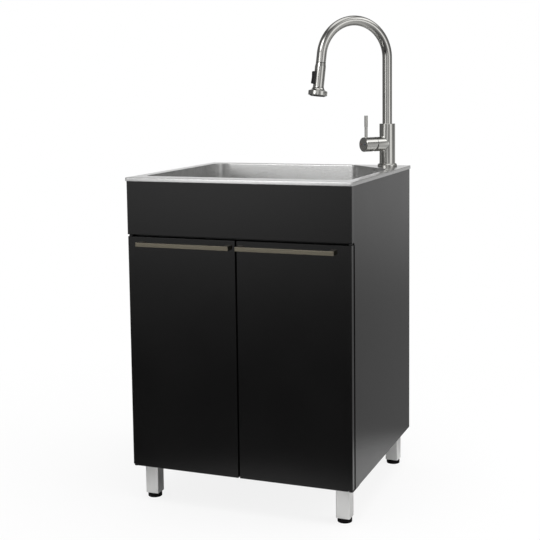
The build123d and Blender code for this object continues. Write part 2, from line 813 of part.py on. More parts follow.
grip = rod((lever_x, 0, hub_top + lever_height), down, lever_grip_radius, lever_grip_length)
lever += chamfer(grip.edges().filter_by(GeomType.CIRCLE), edge_ease)
save("handle_lever", on_tap(lever))

# Spout: a bent tube that turns in a bushing at the top of the body
bushing_start = body_height - bushing_height
spout_foot = bushing_start + bushing_floor
spout_inner = spout_radius - spout_wall
bushing = rod(body_top, down, bushing_radius, bushing_height)
bushing -= rod((0, 0, spout_foot), up, spout_radius + running_fit, bushing_height)
bushing -= rod((0, 0, bushing_start), up, spout_inner, bushing_floor)
save("spout_bushing", on_tap(bushing))
arch_end = radians(180 - spout_sweep)
arch_top = (spout_reach_radius, 0, spout_spring_height + spout_reach_radius)
arch_finish = Vector(
    spout_reach_radius * (1 + cos(arch_end)),
    0,
    spout_spring_height + spout_reach_radius * sin(arch_end),
)
outlet_way = Vector(sin(arch_end), 0, -cos(arch_end))
outlet = arch_finish + outlet_way * spout_tail
spout_spring = (0, 0, spout_spring_height)
spout_path = (
    Line((0, 0, spout_foot), spout_spring)
    + ThreePointArc(spout_spring, arch_top, arch_finish)
    + Line(arch_finish, outlet)
)
tube_section = Plane.XY.offset(spout_foot) * (Circle(spout_radius) - Circle(spout_inner))
spout = sweep(tube_section, path=spout_path)
save("spout", on_spout(spout))

# Spray dock: a dark sleeve in the spout's end that takes the spray head's spigot
outlet_plane = Plane(origin=outlet, x_dir=(0, 1, 0), z_dir=outlet_way)
dock = Cylinder(spout_radius, dock_flange, align=standing)
dock += Pos(0, 0, -dock_depth) * Cylinder(spout_inner, dock_depth, align=standing)
dock -= Pos(0, 0, -dock_depth) * Cylinder(dock_bore, dock_depth + dock_flange, align=standing)
save("spray_dock", on_spout(outlet_plane * dock))

# Spray head, in a frame along the outlet: a slim grip that flares to the nozzle
head_start = dock_flange
flare_end = head_start + head_length - nozzle_height
flare_start = flare_end - flare_length
spigot_radius = dock_bore - free_gap
flare_top = (head_radius, flare_start)
flare_rim = (nozzle_radius - nozzle_round, flare_end)
head_profile = Polyline(
    flare_rim,
    (0, flare_end),
    (0, head_start - dock_depth),
    (spigot_radius, head_start - dock_depth),
    (spigot_radius, head_start),
    (head_top_radius, head_start),
    (head_radius, head_start + head_top_taper),
    flare_top,
)
head_profile += TangentArc(flare_top, flare_rim, tangent=(0, 1))
head = revolve(make_face(Plane.XZ * head_profile), Axis.Z)
button_middle = head_start + button_from_top
pocket_floor = head_radius - button_depth
pocket_width = button_width + 2 * free_gap
pocket_length = button_length + 2 * button_end_gap
pocket = block(
    (-pocket_width / 2, pocket_width / 2),
    (pocket_floor, 2 * head_radius),
    (button_middle - pocket_length / 2, button_middle + pocket_length / 2),
)
head -= pocket
button_pivot = pocket_floor + button_lug + free_gap
pin_half = button_width / 2 + button_pin_reach
bore_half = pin_half + free_gap
bore_start = (-bore_half, button_pivot, button_middle)
head -= rod(bore_start, to_right, button_pin + running_fit, 2 * bore_half)
save("spray_head", on_spout(outlet_plane * head))

# Spray button: a black rocker on a pin, on the side of the head that faces away from the column
rocker_top = head_radius + button_proud
rocker_end = button_length / 2
rocker_profile = Polyline(
    (-rocker_end, button_pivot),
    (rocker_end, button_pivot),
    (rocker_end, rocker_top - button_crown),
    (rocker_end - button_crown, rocker_top),
    (0, rocker_top - button_crown / 2),
    (button_crown - rocker_end, rocker_top),
    (-rocker_end, rocker_top - button_crown),
    close=True,
)
button = extrude(make_face(Plane.ZY * rocker_profile), button_width / 2, both=True)
button = Pos(0, 0, button_middle) * button
button += rod((-button_width / 2, button_pivot, button_middle), to_right, button_lug, button_width)
button += rod((-pin_half, button_pivot, button_middle), to_right, button_pin, 2 * pin_half)
save("spray_button", on_spout(outlet_plane * button))

# Nozzle: a metal ring round a dark rubber spray face
nozzle_seat = Pos(0, 0, flare_end)
nozzle = Cylinder(nozzle_radius, nozzle_height, align=standing)
nozzle = fillet(nozzle.edges().filter_by(GeomType.CIRCLE), nozzle_round)
nozzle -= Cylinder(spray_face_radius + running_fit, nozzle_height, align=standing)
save("nozzle_ring", on_spout(outlet_plane * nozzle_seat * nozzle))
spray_face = Cylinder(spray_face_radius, nozzle_height + spray_face_proud, align=standing)
spray_face = chamfer(spray_face.edges().group_by(Axis.Z)[-1], spray_face_proud)
save("spray_face", on_spout(outlet_plane * nozzle_seat * spray_face))
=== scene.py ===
import json
from math import cos, pi, radians, sin, tan

import bmesh
import bpy
from mathutils import Matrix, Vector

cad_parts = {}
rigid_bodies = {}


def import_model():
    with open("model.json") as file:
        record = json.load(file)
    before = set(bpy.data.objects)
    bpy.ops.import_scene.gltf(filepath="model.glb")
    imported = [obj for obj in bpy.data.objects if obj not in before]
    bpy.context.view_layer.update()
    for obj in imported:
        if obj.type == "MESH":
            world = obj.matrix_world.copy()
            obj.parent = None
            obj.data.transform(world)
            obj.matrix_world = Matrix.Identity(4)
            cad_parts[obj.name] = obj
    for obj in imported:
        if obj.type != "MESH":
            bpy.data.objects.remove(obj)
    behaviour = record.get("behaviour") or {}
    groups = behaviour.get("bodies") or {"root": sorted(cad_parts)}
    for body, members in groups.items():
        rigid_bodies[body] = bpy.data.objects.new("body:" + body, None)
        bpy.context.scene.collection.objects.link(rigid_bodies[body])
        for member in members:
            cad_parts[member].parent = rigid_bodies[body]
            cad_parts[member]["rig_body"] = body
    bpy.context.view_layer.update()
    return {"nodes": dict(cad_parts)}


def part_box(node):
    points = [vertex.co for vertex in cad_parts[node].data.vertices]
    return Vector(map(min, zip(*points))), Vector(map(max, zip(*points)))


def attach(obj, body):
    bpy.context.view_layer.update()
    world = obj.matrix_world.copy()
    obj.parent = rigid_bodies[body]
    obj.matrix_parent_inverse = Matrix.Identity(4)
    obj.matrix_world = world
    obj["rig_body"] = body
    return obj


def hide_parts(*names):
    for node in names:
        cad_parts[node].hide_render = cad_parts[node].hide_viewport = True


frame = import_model()


# Cabinet panels: two sides, a floor and three rails of particle board faced with black foil.
# The foil has a fine pebble. Pressed-on bands cover the edges, eased to a soft line. A matt black
# strip on each side panel's front beside the doors is painted shade for the gap behind them. Cam
# fittings and screws draw the panels together.
class Shade:
    """One output of a shader node. Sums and products of values write their own Math nodes."""

    def __init__(self, tree, socket=None):
        self.tree = tree
        self.socket = socket

    def node(self, kind, settings=None, sockets=None, output=0):
        """Add a node of any kind: its settings first, then the values or links of its sockets."""
        new = self.tree.nodes.new(kind)
        for name, value in (settings or {}).items():
            setattr(new, name, value)
        for name, value in (sockets or {}).items():
            if isinstance(value, Shade):
                self.tree.links.new(value.socket, new.inputs[name])
            else:
                new.inputs[name].default_value = value
        return Shade(self.tree, new.outputs[output]) if new.outputs else None

    def maths(self, operation, *values):
        """Add a Math node on values or numbers."""
        return self.node("ShaderNodeMath", {"operation": operation}, dict(enumerate(values)))

    def feed(self, socket):
        """Link this output to a shader's socket."""
        self.tree.links.new(self.socket, socket)

    def __add__(self, other):
        return self.maths("ADD", self, other)

    def __sub__(self, other):
        return self.maths("SUBTRACT", self, other)

    def __rsub__(self, other):
        return self.maths("SUBTRACT", other, self)

    def __mul__(self, other):
        return self.maths("MULTIPLY", self, other)

    def __pow__(self, other):
        return self.maths("POWER", self, other)

    __radd__ = __add__
    __rmul__ = __mul__


def new_finish(name, **constants):
    """A material with one Principled shader. Returns the material, its shader and its places."""
    material = bpy.data.materials.new(name)
    material.use_nodes = True
    shader = material.node_tree.nodes["Principled BSDF"]
    for socket, value in constants.items():
        shader.inputs[socket.replace("_", " ")].default_value = value
    places = Shade(material.node_tree).node("ShaderNodeTexCoord", output="Object")
    return material, shader, places


def grain(places, scale, stretch=(1, 1, 1), detail=2.0):
    """Noise over the surface, from 0 to 1, drawn out along the axes with a small stretch."""
    mapping = {"Vector": places, "Scale": stretch}
    drawn = places.node("ShaderNodeMapping", {"vector_type": "POINT"}, mapping)
    noise = {"Vector": drawn, "Scale": scale, "Detail": detail}
    return drawn.node("ShaderNodeTexNoise", None, noise)


def tint(amount, dark, light):
    """A colour between two colours by an amount from 0 to 1."""
    first_colour = 6
    second_colour = 7
    mixed_colour = 2
    sockets = {"Factor": amount, first_colour: dark, second_colour: light}
    return amount.node("ShaderNodeMix", {"data_type": "RGBA"}, sockets, output=mixed_colour)


def relief(shader, height, strength, depth):
    """Feed a height to a shader as a bump."""
    sockets = {"Height": height, "Strength": strength, "Distance": depth}
    height.node("ShaderNodeBump", None, sockets).feed(shader.inputs["Normal"])


foil_dark = (0.0021, 0.0020, 0.0021, 1)
foil_light = (0.0034, 0.0033, 0.0033, 1)


def foil_finish(name, shine):
    """Black melamine foil: a fine pebble, cloudy in tone and gloss."""
    material, shader, places = new_finish(name, Specular_IOR_Level=shine)
    cloud = grain(places, scale=7.0, detail=4.0)
    pebble = grain(places, scale=1400.0)
    tint(cloud, foil_dark, foil_light).feed(shader.inputs["Base Color"])
    (0.18 + cloud * 0.05 + pebble * 0.04).feed(shader.inputs["Roughness"])
    relief(shader, pebble, strength=0.25, depth=0.00006)
    return material


black_foil = foil_finish("black_foil", shine=0.41)
edge_band = foil_finish("edge_band", shine=0.6)
same_point = 2e-6
flat_angle = radians(0.4)


def merged_shape(node):
    """A CAD node's triangles joined into one mesh, with flat stretches as single faces."""
    source = frame["nodes"][node].data
    shape = bmesh.new()
    corners = [shape.verts.new(vertex.co) for vertex in source.vertices]
    for face in source.polygons:
        shape.faces.new([corners[index] for index in face.vertices])
    bmesh.ops.remove_doubles(shape, verts=shape.verts, dist=same_point)
    bmesh.ops.dissolve_limit(shape, angle_limit=flat_angle, verts=shape.verts, edges=shape.edges)
    return shape


crease_angle = radians(32)


def place_piece(shape, name, body, materials):
    """Make a bmesh a piece that rides on a body, smooth up to edges sharper than the crease."""
    for face in shape.faces:
        face.smooth = True
    for edge in shape.edges:
        edge.smooth = edge.calc_face_angle(pi) < crease_angle
    mesh = bpy.data.meshes.new(name)
    shape.to_mesh(mesh)
    shape.free()
    piece = bpy.data.objects.new(name, mesh)
    bpy.context.scene.collection.objects.link(piece)
    for material in materials:
        mesh.materials.append(material)
    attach(piece, body)
    return piece


ease_steps = 3
ease_angle = radians(35)


def ease_edges(piece, width):
    """Round a piece's sharp edges, in its first material."""
    bevel = piece.modifiers.new("eased_edges", "BEVEL")
    bevel.width = width
    bevel.segments = ease_steps
    bevel.limit_method = "ANGLE"
    bevel.angle_limit = ease_angle
    bevel.harden_normals = True
    bevel.material = 0


facing_share = 0.5


def worked_piece(node, materials, ease=0.0, face_axis=None, shape=None):
    """A piece that stands for a CAD node. Faces turned from face_axis get the second material."""
    shape = shape or merged_shape(node)
    if face_axis is not None:
        for face in shape.faces:
            face.material_index = int(abs(face.normal[face_axis]) < facing_share)
    body = frame["nodes"][node]["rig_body"]
    piece = place_piece(shape, node + "_piece", body, materials)
    if ease:
        ease_edges(piece, ease)
    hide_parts(node)
    return piece


def moulded_finish(name, dark, light, rough, shine=0.4):
    """Moulded plastic or rubber: a fine matt grain."""
    material, shader, places = new_finish(name, Specular_IOR_Level=shine)
    cloud = grain(places, scale=60.0, detail=3.0)
    pebble = grain(places, scale=2600.0)
    tint(cloud, (*dark, 1), (*light, 1)).feed(shader.inputs["Base Color"])
    (rough + pebble * 0.12).feed(shader.inputs["Roughness"])
    relief(shader, pebble, strength=0.2, depth=0.00005)
    return material


# Matt black with almost no shine: painted shade, laid on faces in the gaps beside and between the
# doors.
painted_gap_shade = moulded_finish(
    "painted_gap_shade",
    dark=(0.002, 0.002, 0.002),
    light=(0.003, 0.003, 0.003),
    rough=0.8,
    shine=0.05,
)
board_finishes = [black_foil, edge_band, painted_gap_shade]
painted_shade_index = board_finishes.index(painted_gap_shade)
# Width of the painted shade strip on each side panel's front.
shade_strip_width = 0.0045
panel_ease = 0.0005
cut_reach = 1e-6


def cut_flat(shape, place, way):
    """Cut a shape's faces along a plane without parting them."""
    whole = shape.verts[:] + shape.edges[:] + shape.faces[:]
    bmesh.ops.bisect_plane(shape, geom=whole, dist=cut_reach, plane_co=place, plane_no=way)


door_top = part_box("left_door")[1].z
for side_node in ("left_side_panel", "right_side_panel"):
    side_shape = merged_shape(side_node)
    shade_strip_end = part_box(side_node)[0].y + shade_strip_width
    cut_flat(side_shape, (0, shade_strip_end, 0), (0, 1, 0))
    cut_flat(side_shape, (0, 0, door_top), (0, 0, 1))
    side_piece = worked_piece(side_node, board_finishes, panel_ease, 0, side_shape)
    # The side panel's front strip beside the doors gets the matt black: painted shade for the gap
    # behind the doors.
    for face in side_piece.data.polygons:
        if face.center.y < shade_strip_end and face.center.z < door_top:
            face.material_index = painted_shade_index
panel_axes = {
    "floor_panel": 2,
    "front_rail": 1,
    "upper_back_rail": 1,
    "lower_back_rail": 1,
}
for panel_node, panel_axis in panel_axes.items():
    worked_piece(panel_node, [black_foil, edge_band], panel_ease, panel_axis)


def paint(material, *nodes):
    """Give CAD nodes that stay as they are a finish."""
    for node in nodes:
        frame["nodes"][node].material_slots[0].material = material


def plated_finish(name, light, rough, scale=160.0):
    """Plated or pressed metal: cloudy in tone, with a fine frost."""
    material, shader, places = new_finish(name, Metallic=1.0)
    cloud = grain(places, scale, detail=4.0)
    dark = [level * 0.8 for level in light]
    tint(cloud, (*dark, 1), (*light, 1)).feed(shader.inputs["Base Color"])
    (rough + cloud * 0.15).feed(shader.inputs["Roughness"])
    return material


zinc_plate = plated_finish("zinc_plate", light=(0.62, 0.63, 0.64), rough=0.28)
paint(zinc_plate, "cam_fittings", "sink_clips")
screw_head = 0.004
head_share = 0.85
socket_corner = 0.0023
socket_depth = 0.0013
socket_sides = 6
hexagon = [2 * pi * side / socket_sides for side in range(socket_sides)]


def socket_screws(node):
    """Screws with a hexagon socket sunk in each flat head."""
    shape = merged_shape(node)
    shape.normal_update()
    least_head = head_share * pi * screw_head**2
    for head in [face for face in shape.faces if face.calc_area() > least_head]:
        centre = head.calc_center_median()
        inward = -head.normal
        spoke = (head.verts[0].co - centre).normalized() * socket_corner
        spokes = [Matrix.Rotation(turn, 3, inward) @ spoke for turn in hexagon]
        mouth_ring = [shape.verts.new(centre + spoke) for spoke in spokes]
        pit_ring = [shape.verts.new(centre + spoke + inward * socket_depth) for spoke in spokes]
        head_edges = list(head.edges)
        bmesh.ops.delete(shape, geom=[head], context="FACES_ONLY")
        mouth_edges = []
        for side in range(socket_sides):
            mouth_edges.append(shape.edges.new((mouth_ring[side - 1], mouth_ring[side])))
        bmesh.ops.bridge_loops(shape, edges=head_edges + mouth_edges)
        for side in range(socket_sides):
            upper = (mouth_ring[side - 1], mouth_ring[side])
            lower = (pit_ring[side], pit_ring[side - 1])
            shape.faces.new(upper + lower)
        shape.faces.new(pit_ring)
    bmesh.ops.recalc_face_normals(shape, faces=shape.faces)
    worked_piece(node, [zinc_plate], shape=shape)


socket_screws("panel_screws")
socket_screws("apron_screws")


# Legs: square tubes of brushed stainless steel under a welded plate, screwed to the floor panel.
# A plug in each tube's end takes the threaded stem of a black moulded levelling foot.
def brushed_finish(name, light, rough, stretch, tone=0.12):
    """Brushed metal: fine lines along the axis with the smallest stretch."""
    material, shader, places = new_finish(name, Metallic=1.0)
    lines = grain(places, scale=1.0, stretch=stretch, detail=3.0)
    cloud = grain(places, scale=22.0, detail=3.0)
    dark = [level * (1 - tone) for level in light]
    mixed = lines * 0.6 + cloud * 0.4
    tint(mixed, (*dark, 1), (*light, 1)).feed(shader.inputs["Base Color"])
    swing = 0.14
    (rough - swing / 2 + lines * swing).feed(shader.inputs["Roughness"])
    relief(shader, lines, strength=0.12, depth=0.00004)
    return material


leg_steel = brushed_finish(
    "leg_steel",
    light=(0.76, 0.76, 0.75),
    rough=0.36,
    stretch=(2600, 2600, 22),
)
black_plastic = moulded_finish(
    "black_plastic",
    dark=(0.008, 0.008, 0.0085),
    light=(0.014, 0.014, 0.0145),
    rough=0.42,
)
foot_plastic = moulded_finish(
    "foot_plastic",
    dark=(0.002, 0.002, 0.002),
    light=(0.004, 0.004, 0.004),
    rough=0.5,
    shine=0.1,
)
paint(black_plastic, "leg_inserts", "tailpiece_nut")


def new_tree(name, **kinds):
    """A Geometry Nodes tree with named inputs. Returns the tree and its inputs."""
    tree = bpy.data.node_groups.new(name, "GeometryNodeTree")
    for label, kind in kinds.items():
        tree.interface.new_socket(label, in_out="INPUT", socket_type="NodeSocket" + kind)
    tree.interface.new_socket("Shape", in_out="OUTPUT", socket_type="NodeSocketGeometry")
    entry = tree.nodes.new("NodeGroupInput")
    return tree, {label: Shade(tree, entry.outputs[label]) for label in kinds}


def end_tree(shape, finish):
    """End a tree: what it made becomes one smooth mesh with its finish."""
    smooth = shape.node("GeometryNodeSetShadeSmooth", None, {"Geometry": shape})
    whole = smooth.node("GeometryNodeRealizeInstances", None, {"Geometry": smooth})
    painted = whole.node("GeometryNodeSetMaterial", None, {"Geometry": whole, "Material": finish})
    painted.node("NodeGroupOutput", None, {0: painted})


def made_by_nodes(tree, name, body, slot, source=None, place=Matrix(), **inputs):
    """The plain mesh that a node tree makes, alone or from a curve, as a piece on a body."""
    holder = bpy.data.objects.new(name + "_source", source or bpy.data.meshes.new(name + "_source"))
    bpy.context.scene.collection.objects.link(holder)
    modifier = holder.modifiers.new(name, "NODES")
    modifier.node_group = tree
    identifiers = {item.name: item.identifier for item in tree.interface.items_tree}
    for label, value in inputs.items():
        modifier[identifiers[label]] = value
    evaluated = holder.evaluated_get(bpy.context.evaluated_depsgraph_get())
    mesh = bpy.data.meshes.new_from_object(evaluated)
    bpy.data.objects.remove(holder)
    mesh.transform(place)
    piece = bpy.data.objects.new(name, mesh)
    bpy.context.scene.collection.objects.link(piece)
    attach(piece, body)
    return piece


coil_steps = 20
bead_sides = 6


def thread_nodes():
    """Nodes that wind a rounded ridge up a stem."""
    numbers = dict.fromkeys(("Radius", "Ridge", "Turns", "Height"), "Float")
    tree, given = new_tree("wound_ridge", **numbers, Finish="Material")
    radius = given["Radius"]
    spiral = {
        "Resolution": coil_steps,
        "Rotations": given["Turns"],
        "Height": given["Height"],
        "Start Radius": radius,
        "End Radius": radius,
    }
    coil = radius.node("GeometryNodeCurveSpiral", None, spiral)
    circle = {"Resolution": bead_sides, "Radius": given["Ridge"]}
    bead = radius.node("GeometryNodeCurvePrimitiveCircle", None, circle)
    sweep = {"Curve": coil, "Profile Curve": bead, "Fill Caps": True}
    ridge = coil.node("GeometryNodeCurveToMesh", None, sweep)
    end_tree(ridge, given["Finish"])
    return tree


wound_ridge = thread_nodes()
ridge_share = 0.3
stem_nearness = 0.2


def threaded_stem(shape, name, body, slot, finish, axis, radius, heights, pitch):
    """Thin a piece's stem to the foot of its thread and wind the ridge on it."""
    ridge = pitch * ridge_share
    for point in shape.verts:
        spoke = point.co.to_2d() - axis
        if abs(spoke.length - radius) < ridge * stem_nearness:
            point.co.xy = axis + spoke * (1 - ridge / radius)
    low = heights[0] + ridge
    rise = heights[1] - ridge - low
    sizes = {"Radius": radius - ridge, "Ridge": ridge, "Turns": rise / pitch, "Height": rise}
    place = Matrix.Translation((*axis, low))
    made_by_nodes(wound_ridge, name, body, slot, place=place, Finish=finish, **sizes)


foot_height = 0.012
foot_stem_radius = 0.005
foot_pitch = 0.0015
leg_ease = 0.0004
foot_ease = 0.0006
for corner in ("front_left", "front_right", "rear_left", "rear_right"):
    worked_piece("leg_" + corner, [leg_steel], leg_ease)
    foot = "foot_" + corner
    foot_low, foot_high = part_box(foot)
    foot_axis = ((foot_low + foot_high) / 2).to_2d()
    stem_heights = (foot_low.z + foot_height, foot_high.z)
    foot_shape = merged_shape(foot)
    threaded_stem(
        foot_shape,
        foot + "_thread",
        foot,
        "black_plastic",
        foot_plastic,
        foot_axis,
        foot_stem_radius,
        stem_heights,
        foot_pitch,
    )
    worked_piece(foot, [foot_plastic], foot_ease, shape=foot_shape)


# Apron: the fixed panel over the doors, foil-faced, held from behind through the front rail.
# Doors: two slabs of the same board on pivot hinges, with banded edges and rubber stops behind.
# Their lower edges clear the rounded noses of the lower hinge plates.
front_ease = 0.0007
meeting_reach = 0.005
seam_lean = 0.1
skirt = 0.0034
hinge_room = 0.0125
step_width = 0.0002
bottom_reach = 0.001


def lower_edge(shape, outer_end):
    """Let a door's lower edge hang down by the skirt, up to the room that the plate needs."""
    side = 1 if outer_end > 0 else -1
    skirt_end = outer_end - side * hinge_room
    for cut in (skirt_end, skirt_end + side * step_width):
        cut_flat(shape, (cut, 0, 0), (1, 0, 0))
    bottom = min(point.co.z for point in shape.verts)
    for point in shape.verts:
        inside = side * (skirt_end - point.co.x) > -step_width / 2
        if inside and point.co.z < bottom + bottom_reach:
            point.co.z -= skirt
    shape.normal_update()


outer_ends = {"left_door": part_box("left_door")[0].x, "right_door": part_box("right_door")[1].x}
for front_node in ("apron_panel", "left_door", "right_door"):
    front_shape = merged_shape(front_node)
    if front_node in outer_ends:
        lower_edge(front_shape, outer_ends[front_node])
    front_piece = worked_piece(front_node, board_finishes, front_ease, 1, front_shape)
    gap_side = 1 if front_node in outer_ends else -1
    # Seam faces and the faces inside the gap under the apron get the matt black: painted shade in
    # the gaps.
    for face in front_piece.data.polygons:
        at_seam = abs(face.center.x) < meeting_reach and abs(face.normal.x) > seam_lean
        if at_seam or face.normal.z * gap_side > facing_share:
            face.material_index = painted_shade_index
hinge_steel = plated_finish("hinge_steel", light=(0.05, 0.05, 0.052), rough=0.4)
bush_nylon = moulded_finish(
    "bush_nylon",
    dark=(0.62, 0.62, 0.6),
    light=(0.7, 0.7, 0.68),
    rough=0.4,
)
stop_rubber = moulded_finish(
    "stop_rubber",
    dark=(0.014, 0.014, 0.014),
    light=(0.024, 0.024, 0.024),
    rough=0.62,
)
paint(hinge_steel, "upper_hinge_plates")
nose_round = 0.0058
nose_steps = 8
plate_ease = 0.0002
upright_least = 0.001
face_margin = 1e-5
plate_shape = merged_shape("lower_hinge_plates")
plate_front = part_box("lower_hinge_plates")[0].y + face_margin
noses = []
for edge in plate_shape.edges:
    first, second = edge.verts
    upright_edge = abs(first.co.z - second.co.z) > upright_least
    if upright_edge and first.co.y < plate_front and second.co.y < plate_front:
        noses.append(edge)
bmesh.ops.bevel(
    plate_shape,
    geom=noses,
    offset=nose_round,
    segments=nose_steps,
    profile=0.5,
    affect="EDGES",
)
worked_piece("lower_hinge_plates", [hinge_steel], plate_ease, shape=plate_shape)
socket_screws("hinge_screws")
paint(zinc_plate, "hinge_pins")
paint(bush_nylon, "left_door_bushes", "right_door_bushes")
paint(black_plastic, "hinge_washers")
paint(stop_rubber, "door_bumpers")


# Handles: square bar pulls in dark brushed nickel, a bar on two posts, bolted through the doors.
# The bars are hidden from glossy rays, so the foil shows no reflection of them.
handle_nickel = brushed_finish(
    "handle_nickel",
    light=(0.27, 0.245, 0.19),
    rough=0.34,
    stretch=(26, 2600, 2600),
    tone=0.2,
)
bar_ease = 0.0005
for side in ("left", "right"):
    bar = worked_piece(side + "_handle", [handle_nickel], bar_ease)
    bar.visible_glossy = False
    socket_screws(side + "_handle_screws")


# Sink: one pressing of brushed stainless sheet. The rim folds down over the panels in a square lip,
# bends into a deep bowl with a clipped rear corner, and falls to a round seat for the waste.
sink_low, sink_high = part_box("sink")
sheet = 0.0012
side_strip = 0.028
front_strip = 0.060
rear_strip = 0.026
deck_leg = 0.125
bowl_depth = 0.240
bowl_corner = 0.040
bowl_front_corner = 0.016
rim_corner = 0.005
rim_lip = 0.009
rim_bend = 0.0028
floor_bend = 0.012
floor_margin = 0.003
floor_fall = 0.005
fall_end_share = 0.3
seat_depth = 0.004
seat_radius = 0.058
waste_hole = 0.045
tap_hole = 0.0175


def rounded_outline(corners, steps, between=0):
    """Points round (x, y, radius) corners, anticlockwise, each with its outward direction."""
    arcs = []
    spots = [Vector((x, y)) for x, y, radius in corners]
    for index, corner in enumerate(spots):
        radius = corners[index][2]
        back = (spots[index - 1] - corner).normalized()
        ahead = (spots[(index + 1) % len(spots)] - corner).normalized()
        half = back.angle(ahead) / 2
        centre = corner + (back + ahead).normalized() * radius / sin(half)
        first = corner + back * radius / tan(half) - centre
        arc = []
        for step in range(steps + 1):
            spoke = Matrix.Rotation((pi - 2 * half) * step / steps, 2) @ first
            arc.append((centre + spoke, spoke.normalized()))
        arcs.append(arc)
    points = []
    for arc, next_arc in zip(arcs, arcs[1:] + arcs[:1]):
        end, side_way = arc[-1]
        points += arc
        for step in range(1, between + 1):
            points.append((end.lerp(next_arc[0][0], step / (between + 1)), side_way))
    return points


left = sink_low.x + side_strip
right = sink_high.x - side_strip
front = sink_low.y + front_strip
rear = sink_high.y - rear_strip
rim_top = sink_high.z
mouth_corners = [
    (left, front, bowl_front_corner),
    (right, front, bowl_front_corner),
    (right, rear - deck_leg, bowl_corner),
    (right - deck_leg, rear, bowl_corner),
    (left, rear, bowl_corner),
]
mouth = rounded_outline(mouth_corners, steps=14, between=16)
drain = Vector(((left + right) / 2, (front + rear) / 2))
bowl_floor = rim_top - bowl_depth + sheet
shell = bmesh.new()


def ring_at(outline, offset, height):
    """A closed ring of points, moved out along the outline's directions."""
    return [shell.verts.new((*(point + way * offset), height)) for point, way in outline]


def bridge(outer, inner):
    """Faces between two rings with as many points each."""
    for index in range(len(outer)):
        ahead = (index + 1) % len(outer)
        shell.faces.new((outer[index], outer[ahead], inner[ahead], inner[index]))


def edges_of(ring):
    """The edges round a ring, made where they are missing."""
    edges = []
    for index, point in enumerate(ring):
        ahead = ring[(index + 1) % len(ring)]
        edges.append(shell.edges.get((point, ahead)) or shell.edges.new((point, ahead)))
    return edges


bend_steps = 8
rings = []
for step in range(bend_steps + 1):
    turn = radians(90) * step / bend_steps
    rings.append(ring_at(mouth, rim_bend * (1 - sin(turn)), rim_top - rim_bend * (1 - cos(turn))))
for step in range(bend_steps + 1):
    turn = radians(90) * step / bend_steps
    inset = floor_bend * (1 - cos(turn))
    rings.append(ring_at(mouth, -inset, bowl_floor + floor_bend * (1 - sin(turn))))
floor_ring = [(point - way * (floor_bend + floor_margin), way) for point, way in mouth]
rings.append(ring_at(floor_ring, 0, bowl_floor))
fall_steps = 10
for step in range(1, fall_steps + 1):
    share = step / fall_steps
    reach = 1 - (1 - fall_end_share) * share
    fall = [(drain + (point - drain) * reach, way) for point, way in floor_ring]
    rings.append(ring_at(fall, 0, bowl_floor - floor_fall * share))
fall_floor = bowl_floor - floor_fall
round_way = [(drain, (point - drain).normalized()) for point, way in mouth]
seat_ease = 0.0012
seat_bend = seat_ease * 0.3
for radius, height in (
    (seat_radius + seat_ease, fall_floor),
    (seat_radius + seat_bend, fall_floor - seat_bend),
    (seat_radius, fall_floor - seat_ease),
    (seat_radius, fall_floor - seat_depth),
    (waste_hole, fall_floor - seat_depth),
):
    rings.append(ring_at(round_way, radius, height))
for outer, inner in zip(rings, rings[1:]):
    bridge(outer, inner)

rim_corners = [
    (sink_low.x, sink_low.y, rim_corner),
    (sink_high.x, sink_low.y, rim_corner),
    (sink_high.x, sink_high.y, rim_corner),
    (sink_low.x, sink_high.y, rim_corner),
]
rim = rounded_outline(rim_corners, steps=8)
fold_steps = 4
folds = [ring_at(rim, 0, rim_top - rim_lip)]
for step in range(fold_steps + 1):
    turn = radians(90) * step / fold_steps
    folds.append(ring_at(rim, -sheet * (1 - cos(turn)), rim_top - sheet * (1 - sin(turn))))
for outer, inner in zip(folds, folds[1:]):
    bridge(outer, inner)
flange_low, flange_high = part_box("tap_flange")
tap_axis = ((flange_low + flange_high) / 2).to_2d()
hole_steps = 48
hole_turns = [2 * pi * step / hole_steps for step in range(hole_steps)]
hole_ways = [(tap_axis, Vector((cos(turn), sin(turn)))) for turn in hole_turns]
hole = ring_at(hole_ways, tap_hole, rim_top)
rim_edges = edges_of(folds[-1]) + edges_of(rings[0]) + edges_of(hole)
bmesh.ops.triangle_fill(shell, edges=rim_edges, use_beauty=True)
bmesh.ops.recalc_face_normals(shell, faces=shell.faces)
upward = sum(face.normal.z * face.calc_area() for face in shell.faces)
if upward < 0:
    bmesh.ops.reverse_faces(shell, faces=shell.faces)


def steel_sheet_finish():
    """Brushed stainless sheet: lines along the sink's width, with cloudy gloss and small specks."""
    material, shader, places = new_finish("sink_steel", Metallic=1.0)
    lines = grain(places, scale=1.0, stretch=(24, 2400, 2400), detail=3.0)
    cloud = grain(places, scale=14.0, detail=4.0)
    specks = grain(places, scale=420.0)
    mixed = lines * 0.45 + cloud * 0.3 + specks * 0.25
    dark = (0.58, 0.58, 0.575, 1)
    light = (0.74, 0.74, 0.735, 1)
    tint(mixed, dark, light).feed(shader.inputs["Base Color"])
    (0.2 + lines * 0.1 + cloud * 0.06).feed(shader.inputs["Roughness"])
    relief(shader, lines * 0.7 + specks * 0.3, strength=0.1, depth=0.00005)
    return material


sink_steel = steel_sheet_finish()
sink_piece = place_piece(shell, "sink_piece", "cabinet", [sink_steel])
thickness = sink_piece.modifiers.new("sheet", "SOLIDIFY")
thickness.thickness = sheet
thickness.offset = -1.0
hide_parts("sink")


# Waste: a pressed steel strainer cup with a rubber washer and a lugged nut below, a lift-out
# basket with a perforated plate and a knob, and a tailpiece under a slip nut.
drain_steel = plated_finish("drain_steel", light=(0.68, 0.68, 0.67), rough=0.18, scale=24.0)
waste_ease = 0.0004
waste_nodes = (
    "strainer_body",
    "strainer_basket",
    "basket_plate",
    "basket_knob",
    "drain_locknut",
    "tailpiece",
)
for waste_node in waste_nodes:
    worked_piece(waste_node, [drain_steel], waste_ease)
paint(stop_rubber, "drain_gasket", "tap_washer")


